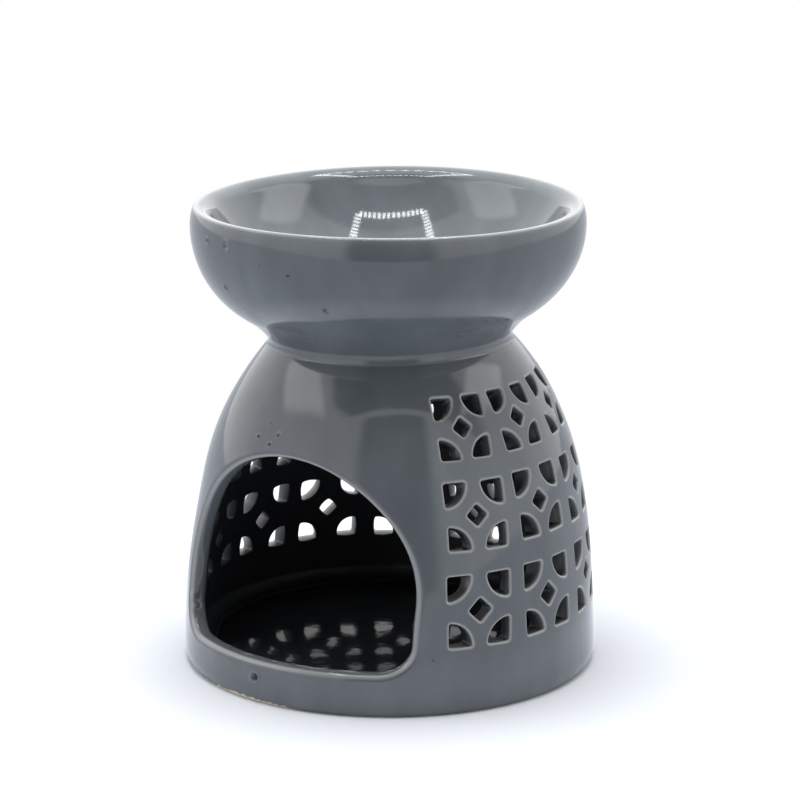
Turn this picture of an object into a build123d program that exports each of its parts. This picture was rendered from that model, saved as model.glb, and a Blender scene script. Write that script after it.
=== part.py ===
from build123d import *
from math import asin, degrees, floor, radians, sqrt, tan
import os

# An essential oil burner in glazed ceramic: a pierced dome with an arched candle
# opening, closed above by a fixed bowl for oil and water. Millimetres, +Z up, with
# the origin at the middle of the foot. The arch faces -Y.

# Dome wall
BODY_RADIUS = 55.0          # outside, at its widest
BODY_WIDEST_HEIGHT = 4.2    # widest circle above the table
FOOT_SETBACK = 1.2          # how far the outside has rounded in again at the table
SHOULDER_SETBACK = 5.0      # how far the flank has leaned in where the shoulder starts
SHOULDER_HEIGHT = 51.9      # where the tighter curve of the shoulder starts
NECK_RADIUS = 31.7          # where dome and bowl meet
NECK_HEIGHT = 87.9
WALL = 4.7

# Floor under the candle
FLOOR_TOP = 5.4             # above the table
FLOOR_THICKNESS = 4.0
FLOOR_LEDGE = 1.2           # width of the ledge in the wall that the floor butts against
FLOOR_CLEARANCE = 0.15      # round the edge of the floor, filled by slip in the firing

# Arched candle opening
ARCH_HALF_WIDTH = 35.8      # also the radius of the round head
ARCH_LEG = 16.7             # upright stretch between sill and round head
ARCH_CORNER = 7.0           # radius of the two corners at the sill
SILL_RISE = 6.1             # sill above the chamber floor

# Pierced lattice: three rows of square tiles stepped round the wall
TILE_ANGLE = 18.7           # width of a tile, in degrees round the axis
TILE_RIB_ANGLE = 6.45       # plain rib between two tiles
PILLAR_ANGLE = 9.7          # plain wall between the arch and the first tile
ROW_SHARES = (0.377, 0.346, 0.277)   # share of the pierced height, from the lowest row up
ROW_BAND = 6.2              # plain band between two rows, in height
LATTICE_BOTTOM = 18.0       # lowest edge of the lattice above the table
LATTICE_TOP_MARGIN = 8.6    # plain wall between the highest row and the neck
CORNER_HOLE_SHARE = 0.365   # leg of a corner hole, as a share of its tile
DIAMOND_WIDE_SHARE = 0.374  # middle hole, as shares of its tile
DIAMOND_HIGH_SHARE = 0.350
HOLE_CORNER = 0.6           # radius left by the knife in a hole's corners

# Bowl
BOWL_RADIUS = 52.0          # outside, at its widest
BOWL_WIDEST_HEIGHT = 30.9   # widest circle above the neck
BOWL_TURN_SETBACK = 13.3    # how far the outside has rounded in where it turns down to the neck
BOWL_TURN_HEIGHT = 6.95     # that turn above the neck
LIP_HEIGHT = 4.8            # crest of the lip above the widest circle
LIP_SHOULDER = 12.0         # radius of the outside above the widest circle
LIP_EDGE = 0.9              # radius of the lip's outer edge, up to its crest
LIP_ROLL = 5.0              # radius of the lip's inner side, from its crest
BOWL_BOTTOM = 5.0           # thickness under the middle of the dish

# Slip beads
NECK_BEAD_REACH = 1.67      # how far the bead round the waist runs along dome and bowl
FLOOR_FILLET = 4.0          # radius of the hollow face between floor and wall
BEAD_ROOT = 0.3             # how far a bead runs into its neighbours before it is trimmed to them

CUT_MARGIN = 3.0            # how far a cutting shape runs past the wall

AXIS = Axis.Z
floor_bottom = FLOOR_TOP - FLOOR_THICKNESS
sill_height = FLOOR_TOP + SILL_RISE
spring_height = sill_height + ARCH_LEG
rim_widest = NECK_HEIGHT + BOWL_WIDEST_HEIGHT

# Outside profile of the dome, in the (radius, height) plane
foot_edge = Vector(BODY_RADIUS - FOOT_SETBACK, 0)
body_widest = Vector(BODY_RADIUS, BODY_WIDEST_HEIGHT)
shoulder = Vector(BODY_RADIUS - SHOULDER_SETBACK, SHOULDER_HEIGHT)
neck = Vector(NECK_RADIUS, NECK_HEIGHT)
foot_arc = TangentArc(body_widest, foot_edge, tangent=(0, -1))
flank_arc = TangentArc(body_widest, shoulder, tangent=(0, 1))
shoulder_arc = TangentArc(shoulder, neck, tangent=flank_arc % 1)

# Outside profile of the bowl, from its widest circle down to the neck
bowl_widest = Vector(BOWL_RADIUS, rim_widest)
bowl_turn = Vector(BOWL_RADIUS - BOWL_TURN_SETBACK, NECK_HEIGHT + BOWL_TURN_HEIGHT)
bowl_arc = TangentArc(bowl_widest, bowl_turn, tangent=(0, -1))
stem_arc = TangentArc(bowl_turn, neck, tangent=bowl_arc % 1)


def wall_point(height, depth=0.0):
    """A point at this height on the surface that lies depth inside the dome's outside."""
    arc = flank_arc if height <= SHOULDER_HEIGHT else shoulder_arc
    centre = arc.arc_center
    reach = arc.radius - depth
    return Vector(centre.X + sqrt(reach**2 - (height - centre.Y)**2), height)


def wall_normal(height):
    """Outward direction of the dome's outside at this height."""
    arc = flank_arc if height <= SHOULDER_HEIGHT else shoulder_arc
    return (wall_point(height) - arc.arc_center).normalized()


def spin(outline):
    """Turn a closed outline of the (radius, height) plane into a solid of revolution."""
    return revolve(Plane.XZ * make_face(outline), AXIS)


def dome_shell():
    """The plain dome wall, with a ledge in its foot for the floor."""
    inner_foot = Vector(BODY_RADIUS - WALL, BODY_WIDEST_HEIGHT)
    inner_shoulder = shoulder - wall_normal(SHOULDER_HEIGHT) * WALL
    inner_neck = wall_point(NECK_HEIGHT, WALL)
    ledge_radius = BODY_RADIUS - WALL + FLOOR_LEDGE
    inner_flank = TangentArc(inner_foot, inner_shoulder, tangent=(0, 1))
    inner_crown = TangentArc(inner_shoulder, inner_neck, tangent=inner_flank % 1)
    outside = [
        foot_arc,
        flank_arc,
        shoulder_arc,
        Line(neck, inner_neck),
    ]
    inside = [inner_crown, inner_flank]
    foot = [
        Line(inner_foot, (BODY_RADIUS - WALL, 0)),
        Line((BODY_RADIUS - WALL, 0), foot_edge),
    ]
    rebate = Pos(0, 0, FLOOR_TOP / 2) * Cylinder(ledge_radius, FLOOR_TOP)
    return spin(outside + inside + foot) - rebate


def arch_cutter():
    """The stilted round arch, as a bar that runs out through the front of the wall."""
    half = ARCH_HALF_WIDTH
    outline = [
        Line((-half, spring_height), (-half, sill_height)),
        Line((-half, sill_height), (half, sill_height)),
        Line((half, sill_height), (half, spring_height)),
        ThreePointArc((half, spring_height), (0, spring_height + half), (-half, spring_height)),
    ]
    face = make_face(outline)
    sill_corners = face.vertices().group_by(Axis.Y)[0]
    face = fillet(sill_corners, ARCH_CORNER)
    return extrude(Plane.XZ * face, BODY_RADIUS + CUT_MARGIN)


def tile_holes(low, high):
    """The five holes of one tile, as bars through the wall at +X."""
    middle = (low + high) / 2
    centre = wall_point(middle)
    normal = wall_normal(middle)
    half_height = (wall_point(high) - wall_point(low)).length / 2
    half_angle = radians(TILE_ANGLE / 2)

    def spot(across, up):
        """A point of the tile: both coordinates run from -1 to 1, edge to edge."""
        rise = up * half_height
        return (across * (centre.X - rise * normal.Y) * tan(half_angle), rise)

    leg = 2 * CORNER_HOLE_SHARE
    bulge = leg / sqrt(2)
    holes = []
    for side in (-1, 1):
        for end in (-1, 1):
            corner = spot(side, end)
            along = spot(side * (1 - leg), end)
            upright = spot(side, end * (1 - leg))
            belly = spot(side * (1 - bulge), end * (1 - bulge))
            holes.append(make_face([
                Line(corner, along),
                ThreePointArc(along, belly, upright),
                Line(upright, corner),
            ]))
    wide = DIAMOND_WIDE_SHARE
    tall = DIAMOND_HIGH_SHARE
    holes.append(make_face(Polyline(
        spot(-wide, 0), spot(0, -tall), spot(wide, 0), spot(0, tall), close=True)))

    tile = Plane(
        origin=(centre.X, 0, centre.Y), x_dir=(0, 1, 0), z_dir=(normal.X, 0, normal.Y))
    bars = []
    for hole in holes:
        rounded = fillet(hole.vertices(), HOLE_CORNER)
        outward = extrude(tile * rounded, CUT_MARGIN)
        inward = extrude(tile * rounded, -(WALL + CUT_MARGIN))
        bars.append(outward + inward)
    return bars


def lattice_rows():
    """Lowest and highest edge of each row of tiles."""
    pierced = NECK_HEIGHT - LATTICE_TOP_MARGIN - LATTICE_BOTTOM
    pierced -= ROW_BAND * (len(ROW_SHARES) - 1)
    rows = []
    low = LATTICE_BOTTOM
    for share in ROW_SHARES:
        high = low + share * pierced
        rows.append((low, high))
        low = high + ROW_BAND
    return rows


def lattice_angles():
    """Middle of each column of tiles, in degrees from the arch, counted towards +X."""
    arch_half_angle = degrees(asin(ARCH_HALF_WIDTH / BODY_RADIUS))
    first = arch_half_angle + PILLAR_ANGLE + TILE_ANGLE / 2
    pitch = TILE_ANGLE + TILE_RIB_ANGLE
    room = 360 - 2 * (arch_half_angle + PILLAR_ANGLE) + TILE_RIB_ANGLE
    return [first + pitch * column for column in range(floor(room / pitch))]


def pierced_dome():
    """The dome wall with its arch and its lattice cut through."""
    cutters = [arch_cutter()]
    for low, high in lattice_rows():
        holes = tile_holes(low, high)
        for angle in lattice_angles():
            turn = Rot(0, 0, angle - 90)
            cutters += [turn * hole for hole in holes]
    return dome_shell() - cutters


def oil_bowl():
    """The open bowl: a round dish inside a rolled lip, and flat underneath on the neck."""
    rim = rim_widest + LIP_HEIGHT
    shoulder_centre = bowl_widest - Vector(LIP_SHOULDER, 0)
    tilt = degrees(asin((LIP_HEIGHT - LIP_EDGE) / (LIP_SHOULDER - LIP_EDGE)))
    edge_centre = shoulder_centre + Vector(LIP_SHOULDER - LIP_EDGE, 0).rotate(Axis.Z, tilt)
    crest = Vector(edge_centre.X, rim)
    roll_centre = crest - Vector(0, LIP_ROLL)
    dish_bottom = Vector(0, NECK_HEIGHT + BOWL_BOTTOM)

    # The dish is the inside of a ball that stands on the bottom and touches the rolled lip
    run, rise = roll_centre.X, roll_centre.Y - dish_bottom.Y
    dish_radius = (run**2 + rise**2 - LIP_ROLL**2) / (2 * (rise + LIP_ROLL))
    dish_centre = dish_bottom + Vector(0, dish_radius)
    lip_end = roll_centre + (dish_centre - roll_centre).normalized() * LIP_ROLL

    lip_shoulder = CenterArc(shoulder_centre, LIP_SHOULDER, 0, tilt)
    lip_edge = CenterArc(edge_centre, LIP_EDGE, tilt, 90 - tilt)
    lip_roll = TangentArc(crest, lip_end, tangent=(-1, 0))
    outline = [
        Line((0, NECK_HEIGHT), neck),
        stem_arc,
        bowl_arc,
        lip_shoulder,
        lip_edge,
        lip_roll,
        TangentArc(lip_end, dish_bottom, tangent=lip_roll % 1),
        Line(dish_bottom, (0, NECK_HEIGHT)),
    ]
    return spin(outline)


def chamber_floor():
    """The slab that the candle stands on, set up against the ledge in the foot."""
    edge = BODY_RADIUS - WALL + FLOOR_LEDGE - FLOOR_CLEARANCE
    return Pos(0, 0, floor_bottom + FLOOR_THICKNESS / 2) * Cylinder(edge, FLOOR_THICKNESS)


def floor_luting_ring(dome):
    """Slip bead in the corner between the floor and the inside of the wall."""
    inside = BODY_RADIUS - WALL
    toe = Vector(inside - FLOOR_FILLET, FLOOR_TOP)
    head = Vector(inside, FLOOR_TOP + FLOOR_FILLET)
    outline = [
        Line(toe, (inside + BEAD_ROOT, FLOOR_TOP)),
        Line((inside + BEAD_ROOT, FLOOR_TOP), (inside + BEAD_ROOT, head.Y)),
        Line((inside + BEAD_ROOT, head.Y), head),
        TangentArc(head, toe, tangent=(0, -1)),
    ]
    return spin(outline) - dome


def neck_luting_ring(dome, bowl):
    """Slip bead in the groove between dome and bowl, hollowed out round the waist."""
    below = wall_normal(NECK_HEIGHT)
    above = (stem_arc % 1).rotate(Axis.Z, 90)
    slant = below.dot(above)
    hollow = NECK_BEAD_REACH * sqrt((1 + slant) / (1 - slant))
    centre = neck + (below + above) * (hollow / (1 + slant))
    waist = centre + (neck - centre).normalized() * hollow
    on_dome = centre - below * hollow
    on_bowl = centre - above * hollow
    dome_root = on_dome - below * BEAD_ROOT
    bowl_root = on_bowl - above * BEAD_ROOT
    root = neck - (below + above) * BEAD_ROOT
    outline = [
        ThreePointArc(on_dome, waist, on_bowl),
        Line(on_bowl, bowl_root),
        Line(bowl_root, root),
        Line(root, dome_root),
        Line(dome_root, on_dome),
    ]
    return spin(outline) - dome - bowl


dome_part = pierced_dome()
bowl_part = oil_bowl()
parts = {
    "pierced_dome": dome_part,
    "oil_bowl": bowl_part,
    "chamber_floor": chamber_floor(),
    "neck_luting_ring": neck_luting_ring(dome_part, bowl_part),
    "floor_luting_ring": floor_luting_ring(dome_part),
}

os.makedirs("parts", exist_ok=True)
for name, shape in parts.items():
    export_step(shape, f"parts/{name}.step")
    print(name, round(shape.volume), "mm3")
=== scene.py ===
# %% [markdown]
# # A glazed ceramic oil burner
# The burner is three clay pieces stuck together with slip and fired under one grey glaze: a pierced
# dome, the floor that a candle stands on, and an open bowl on top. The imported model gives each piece
# its size and place. This script gives them soft edges, hand-cut holes, a glaze and a studio.

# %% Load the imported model
import math
import random

import bmesh
import bpy
import numpy as np
from mathutils import Matrix, Vector, kdtree
from mathutils.bvhtree import BVHTree
from mathutils.geometry import delaunay_2d_cdt


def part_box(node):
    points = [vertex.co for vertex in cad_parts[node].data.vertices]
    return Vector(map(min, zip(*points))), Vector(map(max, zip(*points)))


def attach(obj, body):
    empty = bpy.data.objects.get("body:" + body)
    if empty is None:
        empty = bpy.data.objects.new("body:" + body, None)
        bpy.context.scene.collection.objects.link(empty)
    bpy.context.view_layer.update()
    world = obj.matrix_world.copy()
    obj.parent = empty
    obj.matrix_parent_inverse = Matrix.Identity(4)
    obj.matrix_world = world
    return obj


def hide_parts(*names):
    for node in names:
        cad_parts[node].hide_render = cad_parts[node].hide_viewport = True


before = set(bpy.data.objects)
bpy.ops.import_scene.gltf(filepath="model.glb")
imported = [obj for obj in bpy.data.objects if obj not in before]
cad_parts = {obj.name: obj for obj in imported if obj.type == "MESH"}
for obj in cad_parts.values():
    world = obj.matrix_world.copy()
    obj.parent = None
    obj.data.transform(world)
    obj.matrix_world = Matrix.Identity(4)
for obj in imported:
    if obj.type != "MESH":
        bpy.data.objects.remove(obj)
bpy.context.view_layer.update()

MM = 0.001
print("nodes", sorted(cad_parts))

# %% [markdown]
# ## The line of the dome's wall
# The wall is turned: a foot that rounds in, a long gentle flank and a tighter shoulder that runs up to
# the neck. Three arcs that meet without a kink give that line, as a thrower's rib would. Heights are
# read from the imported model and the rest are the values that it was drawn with. From here on all
# lengths are millimetres, and they are turned to metres when a mesh is made.

# %% Sizes of the wall
dome_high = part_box("pierced_dome")[1]
bowl_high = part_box("oil_bowl")[1]
floor_low, floor_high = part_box("chamber_floor")
NECK_HEIGHT = dome_high.z / MM
RIM_HEIGHT = bowl_high.z / MM
FLOOR_TOP = floor_high.z / MM
FLOOR_BOTTOM = floor_low.z / MM
BODY_RADIUS = 55.0
BODY_WIDEST_HEIGHT = 4.2
FOOT_SETBACK = 1.2
SHOULDER_SETBACK = 5.0
SHOULDER_HEIGHT = 51.9
NECK_RADIUS = 31.7
WALL = 4.7


def tangent_arc(start, end, tangent):
    """Centre and radius of the arc that leaves start along tangent and ends at end."""
    start, end = np.array(start), np.array(end)
    side = np.array((-tangent[1], tangent[0]))
    chord = end - start
    reach = chord.dot(chord) / (2 * side.dot(chord))
    return start + side * reach, abs(reach)


widest = (BODY_RADIUS, BODY_WIDEST_HEIGHT)
shoulder = (BODY_RADIUS - SHOULDER_SETBACK, SHOULDER_HEIGHT)
foot_centre, foot_radius = tangent_arc(widest, (BODY_RADIUS - FOOT_SETBACK, 0), (0, -1))
flank_centre, flank_radius = tangent_arc(widest, shoulder, (0, 1))
lean = math.asin((SHOULDER_HEIGHT - BODY_WIDEST_HEIGHT) / flank_radius)
crown_centre, crown_radius = tangent_arc(
    shoulder, (NECK_RADIUS, NECK_HEIGHT), (-math.sin(lean), math.cos(lean)))


def wall_line(height):
    """Radius of the dome's outside at these heights, and its outward normal (across, up)."""
    height = np.asarray(height, float)
    stretch = [height < BODY_WIDEST_HEIGHT, height <= SHOULDER_HEIGHT]
    centre_r = np.select(stretch, (foot_centre[0], flank_centre[0]), crown_centre[0])
    centre_z = np.select(stretch, (foot_centre[1], flank_centre[1]), crown_centre[1])
    reach = np.select(stretch, (foot_radius, flank_radius), crown_radius)
    rise = height - centre_z
    across = np.sqrt(reach**2 - rise**2)
    return centre_r + across, across / reach, rise / reach


def wall_place(angle, height, depth=0.0):
    """Points of the wall, depth inside its outside. Angles are radians from the arch towards +X."""
    radius, across, up = wall_line(height)
    radius = radius - depth * across
    return np.stack([radius * np.sin(angle), -radius * np.cos(angle), height - depth * up], axis=-1)


print("flank radius", round(flank_radius, 1), "shoulder radius", round(crown_radius, 1))

# %% [markdown]
# ## Outlines of the openings
# Every opening is a chain of arcs with straight runs between them: the quarter-round holes and
# diamonds of the lattice, with the slightly round corners that a knife leaves in clay, and the big
# arch. Keeping the direction square to the edge at every point makes rounding that edge easy later.

# %% Chains of arcs
KNIFE_CORNER = 0.6
SMALL_STEP = 0.75
ARCH_STEP = 1.3
CORNER_PIECES = 4
SAME_SPOT = 1e-6


def chain(arcs, step):
    """Points and outward directions along (centre, radius, first degree, last degree) arcs."""
    spots, normals = [], []

    def keep(spot, normal):
        if not spots or np.linalg.norm(spot - spots[-1]) > SAME_SPOT:
            spots.append(spot)
            normals.append(normal)

    for index, (centre, radius, first, last) in enumerate(arcs):
        pieces = max(CORNER_PIECES, math.ceil(radius * math.radians(last - first) / step))
        for angle in np.radians(np.linspace(first, last, pieces + 1)):
            normal = np.array((math.cos(angle), math.sin(angle)))
            keep(np.array(centre) + radius * normal, normal)
        centre, radius, first, _ = arcs[(index + 1) % len(arcs)]
        turn = math.radians(first)
        start, goal = spots[-1], np.array(centre) + radius * np.array((math.cos(turn), math.sin(turn)))
        pieces = math.ceil(np.linalg.norm(goal - start) / step)
        for share in np.linspace(0, 1, pieces + 1)[1:-1]:
            keep(start + share * (goal - start), normals[-1])
    if np.linalg.norm(spots[0] - spots[-1]) < SAME_SPOT:
        del spots[-1], normals[-1]
    return np.array(spots), np.array(normals)


def quarter_outline(leg):
    """A quarter-round hole with its square corner at (0, 0)."""
    knife = KNIFE_CORNER
    inner = leg - knife
    reach = math.sqrt(inner**2 - knife**2)
    tilt = math.degrees(math.asin(knife / inner))
    return chain([
        ((reach, knife), knife, -90, tilt),
        ((0, 0), leg, tilt, 90 - tilt),
        ((knife, reach), knife, 90 - tilt, 180),
        ((knife, knife), knife, 180, 270),
    ], SMALL_STEP)


def diamond_outline(wide, tall):
    """A diamond of these half widths, centred on (0, 0)."""
    slant = math.degrees(math.atan2(wide, tall))
    to_edge = wide * tall / math.hypot(wide, tall)
    inset = (to_edge - KNIFE_CORNER) / to_edge
    return chain([
        ((inset * wide, 0), KNIFE_CORNER, -slant, slant),
        ((0, inset * tall), KNIFE_CORNER, slant, 180 - slant),
        ((-inset * wide, 0), KNIFE_CORNER, 180 - slant, 180 + slant),
        ((0, -inset * tall), KNIFE_CORNER, 180 + slant, 360 - slant),
    ], SMALL_STEP)


ARCH_HALF_WIDTH = 35.8
ARCH_LEG = 16.7
ARCH_CORNER = 7.0
SILL_RISE = 6.1
sill_height = FLOOR_TOP + SILL_RISE
spring_height = sill_height + ARCH_LEG


def arch_outline():
    """The stilted round arch, seen square on from the front."""
    corner = ARCH_HALF_WIDTH - ARCH_CORNER
    low = sill_height + ARCH_CORNER
    return chain([
        ((0, spring_height), ARCH_HALF_WIDTH, 0, 180),
        ((-corner, low), ARCH_CORNER, 180, 270),
        ((corner, low), ARCH_CORNER, 270, 360),
    ], ARCH_STEP)


print("points round the arch", len(arch_outline()[0]))

# %% [markdown]
# ## Where the openings go through the wall
# The lattice is stepped round the wall from the arch's right jamb, three rows high. A knife goes in
# square to the wall at each tile, and the glaze that ran down inside narrows each hole there and
# rounds its corners. Hand cutting is never exact: each hole gets a small seeded shift, turn and change
# of size. An opening is kept as its two flat outlines and the functions that lay them on the wall.

# %% Lattice and arch
TILE_ANGLE = 18.7
TILE_RIB_ANGLE = 6.45
PILLAR_ANGLE = 9.7
ROW_SHARES = (0.377, 0.346, 0.277)
ROW_BAND = 6.2
LATTICE_BOTTOM = 18.0
LATTICE_TOP_MARGIN = 8.6
CORNER_HOLE_SHARE = 0.365
DIAMOND_WIDE_SHARE = 0.374
DIAMOND_HIGH_SHARE = 0.350
HAND_SHIFT = 0.18
HAND_TURN = math.radians(1.6)
HAND_SIZE = 0.025
PLACED_BY_EYE = {(0, 0): (0.8, 0.0), (0, 1): (0.2, 0.0), (1, 0): (0.9, 0.2), (1, 1): (0.2, 0.7),
                 (2, 0): (0.3, -0.3), (2, 1): (-0.3, -0.1)}
GLAZE_NARROWS = 0.83
GLAZE_ROUNDS = 0.35
JAMB_SPLAY = 0.15
HOLE_EDGE = (0.6, 0.4)
ARCH_EDGE = (1.8, 1.5)
hand = random.Random(7)


def through_tile(angle, middle):
    """Functions that lay a tile's flat points on the outside and the inside of the wall."""
    radius, across, up = (float(value) for value in wall_line(middle))
    reach = flank_radius if middle <= SHOULDER_HEIGHT else crown_radius

    def outside(spots):
        return angle + spots[:, 0] / (radius - spots[:, 1] * up), middle + spots[:, 1] * across

    def inside(spots):
        span = radius - WALL * across - spots[:, 1] * up
        return angle + spots[:, 0] / span, middle + spots[:, 1] * across * reach / (reach - WALL)

    return outside, inside


def arch_outside(spots):
    """The arch is drawn square on from the front, so its sides wrap round the wall."""
    radius, _, _ = wall_line(spots[:, 1])
    return np.arcsin(spots[:, 0] / radius), spots[:, 1]


def arch_inside(spots):
    """Jambs cut nearly towards the axis, with the sill and the crown cut level."""
    radius, _, up = wall_line(spots[:, 1])
    straight = np.arcsin(spots[:, 0] / radius)
    level = np.arcsin(spots[:, 0] / (radius - WALL))
    return straight + JAMB_SPLAY * (level - straight), spots[:, 1] + WALL * up


def by_hand(spots, normals):
    """The outline as a hand would cut it: a little moved, turned and resized."""
    turn = hand.uniform(-HAND_TURN, HAND_TURN)
    size = 1 + hand.uniform(-HAND_SIZE, HAND_SIZE)
    shift = np.array((hand.uniform(-HAND_SHIFT, HAND_SHIFT), hand.uniform(-HAND_SHIFT, HAND_SHIFT)))
    spin = np.array(((math.cos(turn), -math.sin(turn)), (math.sin(turn), math.cos(turn))))
    middle = spots.mean(axis=0)
    return (spots - middle) @ spin.T * size + middle + shift, normals @ spin.T


def glazed_inside(spots):
    """A hole's outline on the inside of the wall, smaller and with rounder corners."""
    middle = spots.mean(axis=0)
    away = spots - middle
    reach = np.linalg.norm(away, axis=1, keepdims=True)
    rounded = 1 - GLAZE_ROUNDS + GLAZE_ROUNDS * reach.mean() / reach
    return middle + GLAZE_NARROWS * away * rounded


def hole(outline, layers):
    """One hole of the lattice, cut by hand."""
    spots, normals = by_hand(*outline)
    return spots, glazed_inside(spots), normals, *layers, HOLE_EDGE


def tile_openings(angle, low, high):
    """The five holes of one tile, ready to be cut through the wall."""
    middle = (low + high) / 2
    radius, _, _ = wall_line([low, middle, high])
    half_tall = math.hypot(radius[2] - radius[0], high - low) / 2
    half_wide = float(radius[1]) * math.tan(math.radians(TILE_ANGLE / 2))
    leg = CORNER_HOLE_SHARE * (half_wide + half_tall)
    layers = through_tile(angle, middle)
    openings = []
    for side in (-1, 1):
        for end in (-1, 1):
            spots, normals = quarter_outline(leg)
            flip = np.array((-side, -end))
            spots = np.array((side * half_wide, end * half_tall)) + flip * spots
            normals = flip * normals
            if side * end < 0:
                spots, normals = spots[::-1], normals[::-1]
            openings.append(hole((spots, normals), layers))
    diamond = diamond_outline(DIAMOND_WIDE_SHARE * half_wide, DIAMOND_HIGH_SHARE * half_tall)
    openings.append(hole(diamond, layers))
    return openings


pierced = NECK_HEIGHT - LATTICE_TOP_MARGIN - LATTICE_BOTTOM - ROW_BAND * (len(ROW_SHARES) - 1)
arch_half_angle = math.degrees(math.asin(ARCH_HALF_WIDTH / BODY_RADIUS))
pitch = TILE_ANGLE + TILE_RIB_ANGLE
room = 360 - 2 * (arch_half_angle + PILLAR_ANGLE) + TILE_RIB_ANGLE
first_tile = arch_half_angle + PILLAR_ANGLE + TILE_ANGLE / 2
arch, arch_normals = arch_outline()
openings = [(arch, arch, arch_normals, arch_outside, arch_inside, ARCH_EDGE)]
row_low = LATTICE_BOTTOM
for row, row_share in enumerate(ROW_SHARES):
    row_high = row_low + row_share * pierced
    for column in range(int(room / pitch)):
        turn, lift = PLACED_BY_EYE.get((row, column), (0.0, 0.0))
        tile_angle = math.radians(first_tile + pitch * column + turn)
        openings += tile_openings(tile_angle, row_low + lift, row_high + lift)
    row_low = row_high + ROW_BAND
print("openings through the wall", len(openings))

# %% [markdown]
# ## How the burner settled
# Soft clay sags in the making and in the kiln. The dome leans a little to one side, the bowl was set
# on it a little off the middle and out of level, and its rim dried to a slight saddle, with two low
# sides. All pieces go through one function that moves them by their height, so that they still meet.

# %% Lean and tip
CAMERA_TURN = math.radians(35)
toward_camera = Vector((math.sin(CAMERA_TURN), -math.cos(CAMERA_TURN), 0))
to_the_right = Vector((math.cos(CAMERA_TURN), math.sin(CAMERA_TURN), 0))
DOME_SHIFT = 0.72
BOWL_SHIFT = -0.35
WAIST_TIP = np.radians((1.4, 1.4))
RIM_TIP = np.radians((0.33, 0.7))
RIM_SADDLE = 0.42
SADDLE_REACH = 50.5
SADDLE_TURN = math.radians(-13)
DOME_LEANS = (15.0, 48.0)
BOWL_LEANS = (70.0, 108.0)
WAIST_TIPS = (62.0, 88.0)
BOWL_LEVELS = (92.0, 119.0)
level_ways = np.array((to_the_right, toward_camera)).T
saddle_ways = level_ways @ np.array(((math.cos(SADDLE_TURN), math.sin(SADDLE_TURN)),
                                     (-math.sin(SADDLE_TURN), math.cos(SADDLE_TURN))))


def eased(height, stretch):
    """0 below a stretch of heights, 1 above it, and smooth between."""
    share = np.clip((height - stretch[0]) / (stretch[1] - stretch[0]), 0, 1)
    return share**2 * (3 - 2 * share)


def settled(spots):
    """Points of the burner after it settled, higher on the camera's right and front."""
    spots = np.array(spots)
    height = spots[:, 2].copy()
    waist, rim = eased(height, WAIST_TIPS)[:, None], eased(height, BOWL_LEVELS)[:, None]
    tip = WAIST_TIP * waist + (RIM_TIP - WAIST_TIP) * rim
    low, high = (rim * np.square(spots @ saddle_ways / SADDLE_REACH)).T
    shift = DOME_SHIFT * eased(height, DOME_LEANS) + (BOWL_SHIFT - DOME_SHIFT) * eased(height, BOWL_LEANS)
    spots[:, 2] += (tip * (spots @ level_ways)).sum(axis=1) + RIM_SADDLE * (high - low)
    return spots + shift[:, None] * np.array(to_the_right)


print("bowl off the middle by", BOWL_SHIFT, "mm")

# %% [markdown]
# ## Skinning the wall
# A boolean cut would leave sharp, messy edges that the glaze could not flow over. Instead the outside
# and the inside are each unrolled flat, filled with an even net of points round the openings and
# joined into triangles. Loops of quads then roll from one skin over each edge and through to the
# other, so every edge is round and the piece is one closed skin.

# %% Nets and loops
TURN = 2 * math.pi
SEAM = math.radians(-53)
UNROLL = 50.0
AROUND = 250
NET = 1.35
NET_STARTS = (0.25, 0.75)
CLEAR = 0.6
EDGE_TURNS = (5, 4)
APRON = (0.22, 0.13, 0.05)


def inside_loop(loop, spots):
    """Which of these flat points lie inside a closed loop."""
    x, y = spots[:, 0], spots[:, 1]
    hits = np.zeros(len(spots), bool)
    for (ax, ay), (bx, by) in zip(loop, np.roll(loop, -1, axis=0)):
        if ay != by:
            crosses = (ay > y) != (by > y)
            hits ^= crosses & (x < (bx - ax) * (y - ay) / (by - ay) + ax)
    return hits


def in_any(loops, spots):
    """Which of these flat points lie inside any of the loops."""
    hits = np.zeros(len(spots), bool)
    for loop in loops:
        near = np.all((spots >= loop.min(axis=0)) & (spots <= loop.max(axis=0)), axis=1)
        if near.any():
            hits[np.flatnonzero(near)] |= inside_loop(loop, spots[near])
    return hits


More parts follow.
